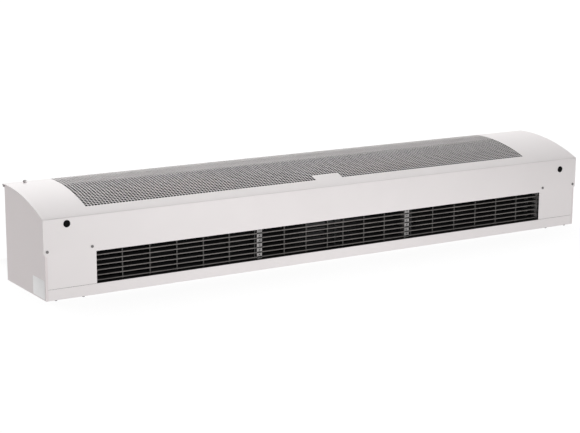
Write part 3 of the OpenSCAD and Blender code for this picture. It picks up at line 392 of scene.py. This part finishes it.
def on_arch(along):
    """Depth and height of the sheet's outer face, from the distance along it behind the bend."""
    angle = bend_angle + min(along, arch_length) / arch_radius
    point = Vector((arch_middle.x + arch_radius * math.sin(angle),
                    arch_middle.y + arch_radius * math.cos(angle)))
    if along > arch_length:
        point += (along - arch_length) * lip_way
    return casing_front + point.x, casing_floor + point.y


# The flat sheet starts as a grid with one cell for each hole
holes_length = hole_columns * hole_pitch
holes_depth = hole_rows * hole_pitch
holes_left = -casing_half + holes_from_left
holes_right = holes_left + holes_length
holes_back = holes_from_bend + holes_depth
nothing_selected()
bpy.ops.mesh.primitive_grid_add(x_subdivisions=hole_columns, y_subdivisions=hole_rows, size=1,
                                location=(0, 0, 0))
cover = bpy.context.object
cover.name = "perforated_cover"
cover.scale = (holes_length, holes_depth, 1)
cover.location = (holes_left + holes_length / 2, holes_from_bend + holes_depth / 2, 0)
bpy.ops.object.transform_apply(location=True, rotation=True, scale=True)


def select_only(*pieces):
    """Selects these pieces and no others; the first is the active one."""
    nothing_selected()
    for piece in pieces:
        piece.select_set(True)
    bpy.context.view_layer.objects.active = pieces[0]


def editing(piece, kind="FACE"):
    """Takes a piece into edit mode, with nothing of it selected."""
    select_only(piece)
    bpy.ops.object.mode_set(mode="EDIT")
    bpy.ops.mesh.select_mode(type=kind)
    bpy.ops.mesh.select_all(action="DESELECT")


def pick(piece, kind, wanted):
    """In edit mode, selects what passes the test, which is given a vertex's place, the places of
    an edge's two ends, or a face."""
    bpy.ops.mesh.select_mode(type=kind)
    bpy.ops.mesh.select_all(action="DESELECT")
    bpy.ops.object.mode_set(mode="OBJECT")
    mesh = piece.data
    if kind == "VERT":
        for vertex in mesh.vertices:
            vertex.select = wanted(vertex.co)
    elif kind == "EDGE":
        for edge in mesh.edges:
            ends = [mesh.vertices[i].co for i in edge.vertices]
            edge.select = wanted(*ends)
    else:
        for face in mesh.polygons:
            face.select = wanted(face)
    bpy.ops.object.mode_set(mode="EDIT")


def extrude_by(offset):
    bpy.ops.mesh.extrude_region_move(TRANSFORM_OT_translate={"value": offset})


# Punch the holes: each cell keeps a frame of half a web, and the tab stays whole
tab_left = holes_left + tab_columns[0] * hole_pitch
tab_right = holes_left + tab_columns[1] * hole_pitch
tab_back = holes_from_bend + tab_rows * hole_pitch
editing(cover)
bpy.ops.mesh.select_all(action="SELECT")
bpy.ops.mesh.inset(thickness=(hole_pitch - hole_width) / 2, use_individual=True)
bpy.ops.object.mode_set(mode="OBJECT")
for face in cover.data.polygons:
    middle = face.center
    if face.select and tab_left < middle.x < tab_right and middle.y < tab_back:
        face.select = False
bpy.ops.object.mode_set(mode="EDIT")
bpy.ops.mesh.delete(type="FACE")

# The bare margins at both ends, then in front of and behind the holes. Whatever lies closer to
# a border than this belongs to it.
close = 0.01 * MM
pick(cover, "EDGE", lambda a, b: max(a.x, b.x) < holes_left + close)
extrude_by((cover_low.x - holes_left, 0, 0))
pick(cover, "EDGE", lambda a, b: min(a.x, b.x) > holes_right - close)
extrude_by((cover_high.x - holes_right, 0, 0))
front_start = -sheet / math.cos(bend_angle)
margin_steps = 4
margin_step = (holes_from_bend - front_start) / margin_steps
for step in range(margin_steps):
    edge_y = holes_from_bend - step * margin_step
    pick(cover, "EDGE", lambda a, b: max(a.y, b.y) < edge_y + close)
    extrude_by((0, -margin_step, 0))
pick(cover, "EDGE", lambda a, b: min(a.y, b.y) > holes_back - close)
extrude_by((0, arch_length + lip.length - holes_back, 0))

# A crease for the rear bend
bpy.ops.mesh.select_all(action="SELECT")
bpy.ops.mesh.bisect(plane_co=(0, arch_length, 0), plane_no=(0, 1, 0))

# Roll the flat sheet to the arch
bpy.ops.object.mode_set(mode="OBJECT")
for vertex in cover.data.vertices:
    vertex.co.y, vertex.co.z = on_arch(vertex.co.y)

# Fold the skirt down in front, cut its corners, and round both bends
front_y, front_z = on_arch(front_start)
rear_y, rear_z = on_arch(arch_length)
editing(cover)
pick(cover, "EDGE", lambda a, b: max(a.y, b.y) < front_y + close)
extrude_by((0, 0, cover_low.z - front_z))
pick(cover, "VERT", lambda p: p.z < cover_low.z + close and abs(p.x) > cover_high.x - close)
bpy.ops.mesh.bevel(offset=corner_cut, segments=1, affect="VERTICES")
pick(cover, "EDGE", lambda a, b: max(a.y, b.y) < front_y + close and min(a.z, b.z) > front_z - close)
bpy.ops.mesh.bevel(offset=bend_rounding, segments=3, affect="EDGES")
pick(cover, "EDGE", lambda a, b: min(a.y, b.y) > rear_y - close and min(a.z, b.z) > rear_z - close)
bpy.ops.mesh.bevel(offset=rear_rounding, segments=2, affect="EDGES")
bpy.ops.object.mode_set(mode="OBJECT")

# The walls of the punched holes are painted dark: painted shade in the holes. At the rear, where the
# sheet lies nearly level, the walls of the last rows are painted paler instead: painted light.
hole_wall_paint = finish(
    "hole_wall_painted_shade_and_light", grain, grain_size=0.3 * MM, cloud_size=20 * MM,
    colours=[(0.035, 0.034, 0.034), (0.06, 0.058, 0.058)],
    roughness=(0.5, 0.65), relief=0.01 * MM, gloss=0.3)
painted_shade_rows = 17.5
painted_light_start = on_arch(holes_from_bend + painted_shade_rows * hole_pitch)[0]
painted_light_rows = ((cover_low.x, painted_light_start, cover_low.z),
             (cover_high.x, cover_high.y + MM, cover_high.z + MM))
paint_within(hole_wall_paint, [painted_light_rows], (0.50, 0.478, 0.476))
cover.data.materials.append(powder_coat("white_powder_coat"))
cover.data.materials.append(hole_wall_paint)
wall = cover.modifiers.new("sheet", "SOLIDIFY")
wall.thickness = sheet
wall.offset = -1
wall.material_offset_rim = 1
bpy.ops.object.modifier_apply(modifier="sheet")

# The sheet's outer edges are coated as its faces are
for face in cover.data.polygons:
    if not holes_left < face.center.x < holes_right or face.center.z < front_z:
        face.material_index = 0
bpy.ops.object.shade_smooth_by_angle(angle=smooth_below)
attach(cover, "root")
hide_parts("top_cover")

# ---- Hole plugs ----
# Two plugs moulded in matt black plastic. They close spare holes in the skirt: each has a domed
# head outside the sheet, and is pushed in until the snap rim on its stem holds.
plug_black = finish(
    "matt_black_plug", grain, grain_size=0.5 * MM, cloud_size=15 * MM,
    colours=[(0.003, 0.003, 0.003), (0.005, 0.005, 0.005)],
    roughness=(0.6, 0.7), relief=0.01 * MM, gloss=0.05)
dress(["hole_plugs"], plug_black)

# ---- Screws ----
# Pan-head sheet-metal screws in dull plated steel, with a cross recess: four through the skirt,
# four up through the front edge of the base, and a taller one on the arch at the rear left.
dull_steel = finish(
    "dull_plated_steel", grain, grain_size=0.3 * MM, cloud_size=3 * MM,
    colours=[(0.17, 0.165, 0.163), (0.27, 0.262, 0.258)],
    roughness=(0.4, 0.55), relief=0.01 * MM, metallic=0.5)
dress(["plate_screws"], dull_steel)

# The screws under the base get a much darker, brownish steel
dark_base_screw_steel = finish(
    "dark_brownish_screw_steel", grain, grain_size=0.3 * MM, cloud_size=3 * MM,
    colours=[(0.03, 0.027, 0.025), (0.06, 0.054, 0.05)],
    roughness=(0.5, 0.6), relief=0.01 * MM, metallic=0.3)

# The rear screw was painted over with the casing, and its crown has worn greyer
crown_depth = 1.7 * MM
rear_low, rear_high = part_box("cover_rear_screw")
painted_steel = powder_coat("overpainted_screw")
crown = ((rear_low.x, rear_low.y, rear_high.z - crown_depth),
         (rear_high.x, rear_high.y, rear_high.z + MM))
paint_within(painted_steel, [crown], (0.58, 0.56, 0.555))

head_sides = 32
shank_width = 3.8 * MM
shank_length = 9 * MM
point_inset = shank_width / 4
point_length = shank_width / 3
recess_gap = 1.2 * MM
screw_smooth_below = math.radians(40)

# Shares of the head's own height and width
rounded_share = 0.7
recess_depth_share = 0.6
recess_length_share = 0.5


def cut_away(piece, size, place):
    """Takes a block out of a piece."""
    nothing_selected()
    bpy.ops.mesh.primitive_cube_add(size=1, location=place)
    cutter = bpy.context.object
    cutter.scale = size
    cut = piece.modifiers.new("cut", "BOOLEAN")
    cut.operation = "DIFFERENCE"
    cut.object = cutter
    select_only(piece)
    bpy.ops.object.modifier_apply(modifier="cut")
    bpy.data.objects.remove(cutter)


def pan_head_screw(head_width, head_height):
    """A screw standing on z = 0 with its head up and its shank below."""
    nothing_selected()
    bpy.ops.mesh.primitive_cylinder_add(vertices=head_sides, radius=head_width / 2,
                                        depth=head_height, location=(0, 0, head_height / 2))
    screw = bpy.context.object
    bpy.ops.object.transform_apply(location=True, rotation=True, scale=True)
    editing(screw)
    pick(screw, "EDGE", lambda a, b: min(a.z, b.z) > head_height - close)
    bpy.ops.mesh.bevel(offset=head_height * rounded_share, segments=4, profile=0.6, affect="EDGES")
    pick(screw, "FACE", lambda face: face.center.z < close)
    bpy.ops.mesh.inset(thickness=(head_width - shank_width) / 2)
    extrude_by((0, 0, -shank_length))
    bpy.ops.mesh.inset(thickness=point_inset)
    bpy.ops.transform.translate(value=(0, 0, -point_length))
    bpy.ops.object.mode_set(mode="OBJECT")
    recess_length = head_width * recess_length_share
    recess_depth = head_height * recess_depth_share
    for length, width in ((recess_length, recess_gap), (recess_gap, recess_length)):
        cut_away(screw, (length, width, recess_depth * 2), (0, 0, head_height))
    bpy.ops.object.shade_smooth_by_angle(angle=screw_smooth_below)
    return screw


def copy_of(piece):
    """A copy with a mesh of its own."""
    copy = piece.copy()
    copy.data = piece.data.copy()
    bpy.context.scene.collection.objects.link(copy)
    return copy


def fix_in_place(name, pattern, places, node, steel):
    """Copies of a pattern screw at their places, each (turn, tilt, point), as one piece that
    takes a node's place."""
    made = []
    for turn, tilt, point in places:
        copy = copy_of(pattern)
        tilted = Matrix.Rotation(tilt, 3, "X") @ Matrix.Rotation(turn, 3, "Z")
        copy.rotation_euler = tilted.to_euler()
        copy.location = point
        made.append(copy)
    select_only(*made)
    if len(made) > 1:
        bpy.ops.object.join()
    bpy.ops.object.transform_apply(location=True, rotation=True, scale=True)
    fixed = bpy.context.object
    fixed.name = name
    bpy.data.objects.remove(pattern)
    fixed.data.materials.append(steel)
    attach(fixed, "root")
    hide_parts(node)


# Places from left to right; each screw has stopped at a turn of its own, in radians
skirt_low, skirt_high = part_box("cover_front_screws")
skirt_head = skirt_high.z - skirt_low.z
skirt_screw_outer = skirt_high.x - skirt_head / 2
skirt_screw_from_end = 117.5 * MM
skirt_screw_inner = casing_half - skirt_screw_from_end
skirt_screw_x = (-skirt_screw_outer, -skirt_screw_inner, skirt_screw_inner, skirt_screw_outer)
skirt_screw_z = (skirt_low.z + skirt_high.z) / 2
skirt_turns = (0.4, 1.1, 0.2, 0.9)
fix_in_place("skirt_screw_set", pan_head_screw(skirt_head, cover_low.y - skirt_low.y),
             [(turn, math.pi / 2, (x, cover_low.y, skirt_screw_z))
              for x, turn in zip(skirt_screw_x, skirt_turns)],
             "cover_front_screws", dull_steel)

base_low, base_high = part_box("base_front_screws")
base_head = base_high.y - base_low.y
base_screw_outer = base_high.x - base_head / 2
base_screw_from_end = 95 * MM
base_screw_inner = casing_half - base_screw_from_end
base_screw_x = (-base_screw_outer, -base_screw_inner, base_screw_inner, base_screw_outer)
base_screw_y = (base_low.y + base_high.y) / 2
base_turns = (0.3, 0.8, 1.3, 0.1)
fix_in_place("base_screw_set", pan_head_screw(base_head, casing_floor - base_low.z),
             [(turn, math.pi, (x, base_screw_y, casing_floor))
              for x, turn in zip(base_screw_x, base_turns)],
             "base_front_screws", dark_base_screw_steel)

# The rear screw stands square on the arch
rear_head_height = 5.5 * MM
rear_seat_depth = 223.3 * MM
rear_turn = 0.5
rear_tilt = -math.asin((rear_seat_depth - arch_middle.x) / arch_radius)
rear_seat = ((rear_low.x + rear_high.x) / 2, casing_front + rear_seat_depth,
             casing_floor + arch_middle.y + arch_radius * math.cos(rear_tilt))
fix_in_place("rear_screw", pan_head_screw(rear_high.x - rear_low.x, rear_head_height),
             [(rear_turn, rear_tilt, rear_seat)], "cover_rear_screw", painted_steel)

# ---- Outlet grille ----
# Three fields of six steel louvres, each a bead along the front with a thin blade rising behind
# it. They are held by upright bars, and painted semi-matt black.
grille_paint = finish(
    "grille_black_paint", grain, grain_size=0.9 * MM, cloud_size=60 * MM,
    colours=[(0.15, 0.138, 0.132), (0.21, 0.194, 0.186)],
    roughness=(0.45, 0.6), relief=0.02 * MM)

# Depths behind the front of the beads from which the painted shade starts, and the bar by each post
bars_start = 1.05 * MM
shaded_bars_start = 1.1 * MM
blades_start = 1.5 * MM
shaded_bar_x = 241.4 * MM
shaded_bar_half = 1.5 * MM
grille_low, grille_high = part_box("outlet_grille_left")
grille_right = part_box("outlet_grille_right")[1].x


def grille_behind(depth, left=grille_low.x, right=grille_right):
    """The box that holds the grille's height and all of it behind a depth, between two x."""
    return ((left, grille_low.y + depth, grille_low.z),
            (right, grille_high.y + MM, grille_high.z))


# The louvres' beads keep the paint's own grey, painted light on their front edges; behind them is
# painted shade: the bars a dark grey, and the blades, the bar next to each post and the beads in the
# posts' notches black
paint_within(grille_paint, [grille_behind(bars_start)], (0.065, 0.06, 0.057))
shaded = [grille_behind(blades_start)]
for bar_x in (-shaded_bar_x, shaded_bar_x):
    shaded.append(grille_behind(shaded_bars_start, bar_x - shaded_bar_half, bar_x + shaded_bar_half))
for side in ("left", "right"):
    notched_low, notched_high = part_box("grille_post_" + side)
    shaded.append(grille_behind(-MM, notched_low.x, notched_high.x))
paint_within(grille_paint, shaded, (0.009, 0.009, 0.009))
dress(["outlet_grille_left", "outlet_grille_centre", "outlet_grille_right"], grille_paint)

# ---- Posts, end combs and heater supports ----
# Bent galvanised sheet, gone dull: its zinc skin shows a fine spangle. The posts are lipped
# channels between the fields and the combs close the outlet's ends, both notched for the
# louvres; the supports stand on the scrolls and hold the heating elements in their slots.
spangle, spangle_in, spangle_out = new_effect("zinc_spangle", effect_inputs, ["Relief", "Tone"])
crystals = spangle.nodes.new("ShaderNodeTexVoronoi")
spangle.links.new(spangle_in.outputs["Vector"], crystals.inputs["Vector"])
spangle.links.new(spangle_in.outputs["Clouds"], crystals.inputs["Scale"])
crystal_tone = spangle.nodes.new("ShaderNodeSeparateColor")
spangle.links.new(crystals.outputs["Color"], crystal_tone.inputs["Color"])
spangle.links.new(crystal_tone.outputs["Red"], spangle_out.inputs["Tone"])
skin = add_noise(spangle, spangle_in.outputs["Vector"], spangle_in.outputs["Grain"], detail=3)
spangle.links.new(skin.outputs["Fac"], spangle_out.inputs["Relief"])


def galvanised(name):
    return finish(name, spangle, grain_size=2 * MM, cloud_size=7 * MM,
                  colours=[(0.24, 0.231, 0.229), (0.38, 0.366, 0.362)],
                  roughness=(0.42, 0.58), relief=0.02 * MM, metallic=0.5)


dress(["heater_support_left", "heater_support_right", "heater_support_mid_left",
       "heater_support_mid_right"], galvanised("galvanised_sheet"))

# Painted shade round the louvres: dark bands across the posts and end combs at each louvre's level
notched_zinc = galvanised("notched_galvanised_sheet")
strip_height = 26 * MM
louvre_foot = 4.4 * MM
louvre_count = 6
louvre_pitch = 12.1 * MM
notch_shade_reach = 1.75 * MM
lowest_louvre = casing_floor + strip_height + louvre_foot
louvre_levels = [lowest_louvre + i * louvre_pitch for i in range(louvre_count)]
notches = [((-casing_half, casing_front, level - notch_shade_reach), (casing_half, 0, level + notch_shade_reach))
           for level in louvre_levels]
paint_within(notched_zinc, notches, (0.03, 0.029, 0.028))
dress(["grille_end_comb_left", "grille_end_comb_right"], notched_zinc)

# A web closes each post's front between the louvres, with a level slot punched in every field
post_sheet = 1 * MM
post_lip = 5 * MM
louvre_room = 2 * MM
slot_height = 2.2 * MM
web_overlap = 0.2 * MM
same_point = 0.001 * MM
for side in ("left", "right"):
    post_low, post_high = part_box("grille_post_" + side)
    post = copy_of(nodes["grille_post_" + side])
    post.name = "slotted_post_" + side
    editing(post, "VERT")
    bpy.ops.mesh.select_all(action="SELECT")
    bpy.ops.mesh.remove_doubles(threshold=same_point)
    bpy.ops.object.mode_set(mode="OBJECT")
    web_left = post_low.x + post_lip - web_overlap
    web_right = post_high.x - post_lip + web_overlap
    webs = []
    edges = [post_low.z, *louvre_levels, post_high.z]
    for low, high in zip(edges, edges[1:]):
        bottom = low + (louvre_room if low != edges[0] else 0)
        top = high - (louvre_room if high != edges[-1] else 0)
        strips = [(bottom, top)]
        if top - bottom > louvre_pitch / 2:
            middle = (bottom + top) / 2
            strips = [(bottom, middle - slot_height / 2), (middle + slot_height / 2, top)]
        for foot, head in strips:
            nothing_selected()
            bpy.ops.mesh.primitive_cube_add(size=1, location=(
                (web_left + web_right) / 2, post_low.y + post_sheet / 2, (foot + head) / 2))
            web = bpy.context.object
            web.scale = (web_right - web_left, post_sheet, head - foot)
            bpy.ops.object.transform_apply(location=True, rotation=True, scale=True)
            webs.append(web)
    select_only(post, *webs)
    bpy.ops.object.join()
    post.data.materials.clear()
    post.data.materials.append(notched_zinc)
    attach(post, "root")
    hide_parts("grille_post_" + side)

# ---- Impellers and hubs ----
# Rolled aluminium blades between pressed discs, painted black. Each impeller is driven through
# a hub moulded in black plastic, which a screw clamps on the motor's shaft.
impeller_paint = finish(
    "impeller_black_paint", grain, grain_size=1.2 * MM, cloud_size=40 * MM,
    colours=[(0.006, 0.006, 0.006), (0.012, 0.012, 0.012)],
    roughness=(0.65, 0.75), relief=0.02 * MM, gloss=0.12)
dress(["impeller_left", "impeller_right"], impeller_paint)
black_plastic = finish(
    "black_moulded_plastic", grain, grain_size=0.5 * MM, cloud_size=25 * MM,
    colours=[(0.010, 0.010, 0.010), (0.018, 0.018, 0.018)],
    roughness=(0.38, 0.5), relief=0.015 * MM)
dress(["impeller_hub_left", "impeller_hub_right"], black_plastic)

# ---- Ducts and motor brackets ----
# Bent sheet: the scrolls and tongues that lead the air round each impeller, the plates beside
# them, and the cradle and straps that carry the motor. All are sprayed with the impellers' black.
dress(["vortex_tongue_left", "vortex_tongue_right", "scroll_left", "scroll_right",
       "duct_end_plate_left", "duct_end_plate_right", "motor_bay_plate_left",
       "motor_bay_plate_right", "motor_cradle", "motor_strap_left", "motor_strap_right"],
      impeller_paint)

# ---- Shafts and bearings ----
# Shafts of ground steel, turned about the X axis. The motor's runs in two steel bearings and the
# impellers' stub shafts in bronze bushes, all held in moulded rubber rings. The cable grommets
# are of the same rubber.
bright_steel = finish(
    "ground_steel", grain, grain_size=0.3 * MM, cloud_size=12 * MM,
    colours=[(0.48, 0.48, 0.49), (0.6, 0.6, 0.61)],
    roughness=(0.22, 0.36), relief=0.004 * MM, metallic=1.0, stretch=(6, 1, 1))
dress(["stub_shaft_left", "stub_shaft_right", "motor_shaft", "motor_rotor",
       "motor_bearing_left", "motor_bearing_right"], bright_steel)
bronze = finish(
    "sintered_bronze", grain, grain_size=0.2 * MM, cloud_size=8 * MM,
    colours=[(0.42, 0.27, 0.12), (0.56, 0.38, 0.18)],
    roughness=(0.45, 0.6), relief=0.02 * MM, metallic=0.9)
dress(["bearing_bush_left", "bearing_bush_right"], bronze)
rubber = finish(
    "black_rubber", grain, grain_size=0.3 * MM, cloud_size=20 * MM,
    colours=[(0.012, 0.012, 0.012), (0.022, 0.021, 0.021)],
    roughness=(0.7, 0.85), relief=0.03 * MM)
dress(["motor_rubber_ring_left", "motor_rubber_ring_right", "bearing_rubber_left",
       "bearing_rubber_right", "cable_grommets"], rubber)

# ---- Motor ----
# A can in two halves joined at a flange, with cooling slots in its ends, painted grey. The
# stator in it is a stack of punched laminations, tinted by the copper of its windings.
motor_paint = finish(
    "motor_grey_paint", grain, grain_size=1.0 * MM, cloud_size=50 * MM,
    colours=[(0.018, 0.018, 0.019), (0.032, 0.032, 0.034)],
    roughness=(0.5, 0.6), relief=0.02 * MM, gloss=0.3)
dress(["motor_housing"], motor_paint)
copper = finish(
    "lamination_and_copper", grain, grain_size=0.4 * MM, cloud_size=6 * MM,
    colours=[(0.42, 0.2, 0.1), (0.6, 0.32, 0.17)],
    roughness=(0.3, 0.45), relief=0.02 * MM, metallic=0.9, stretch=(8, 1, 1))
dress(["motor_stator"], copper)

# ---- Heating elements ----
# Three stainless tubes with pressed-on fins and a terminal pin at each end, darkened by heat.
# They lie in the slots of the heater supports.
heated_steel = finish(
    "heated_steel", grain, grain_size=1.0 * MM, cloud_size=45 * MM,
    colours=[(0.010, 0.0095, 0.0095), (0.028, 0.026, 0.026)],
    roughness=(0.45, 0.6), relief=0.01 * MM, metallic=0.5)
dress(["heating_element_top", "heating_element_middle", "heating_element_bottom"], heated_steel)

# ---- Electrical parts ----
# The terminal block and the overheat cut-out are moulded in white plastic and the contactor in
# the hubs' black one. The capacitor is a drawn aluminium can that lies in a clip.
white_plastic = finish(
    "white_moulded_plastic", grain, grain_size=0.6 * MM, cloud_size=30 * MM,
    colours=[(0.7, 0.69, 0.65), (0.78, 0.77, 0.73)],
    roughness=(0.35, 0.45), relief=0.012 * MM)
dress(["terminal_block", "overheat_cutout"], white_plastic)
dress(["heater_contactor"], black_plastic)
drawn_can = finish(
    "drawn_aluminium", grain, grain_size=0.4 * MM, cloud_size=25 * MM,
    colours=[(0.66, 0.66, 0.68), (0.76, 0.76, 0.78)],
    roughness=(0.25, 0.35), relief=0.006 * MM, metallic=1.0, stretch=(1, 1, 5))
dress(["motor_capacitor"], drawn_can)

# ---- Blank label ----
# A piece of white foil with round corners and a soft edge, stuck low on the left end panel.
# Nothing is printed on it.
label_foil = finish(
    "blank_label_foil", grain, grain_size=0.8 * MM, cloud_size=30 * MM,
    colours=[(0.94, 0.93, 0.93), (0.97, 0.96, 0.96)],
    roughness=(0.45, 0.55), relief=0.004 * MM)
label_low, label_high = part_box("blank_label")
label_size = label_high - label_low
label_corner = 2.5 * MM
label_edge = label_size.x / 3
nothing_selected()
bpy.ops.mesh.primitive_cube_add(size=1, location=(label_low + label_high) / 2)
label = bpy.context.object
label.name = "blank_sticker"
label.scale = label_size
bpy.ops.object.transform_apply(location=True, rotation=True, scale=True)
editing(label)
pick(label, "EDGE", lambda a, b: abs(a.x - b.x) > label_size.x / 2)
bpy.ops.mesh.bevel(offset=label_corner, segments=6, affect="EDGES")
pick(label, "EDGE", lambda a, b: max(a.x, b.x) < label_low.x + close)
bpy.ops.mesh.bevel(offset=label_edge, segments=2, affect="EDGES")
bpy.ops.object.mode_set(mode="OBJECT")
bpy.ops.object.shade_smooth_by_angle(angle=smooth_below)
label.data.materials.append(label_foil)
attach(label, "root")
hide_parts("blank_label")
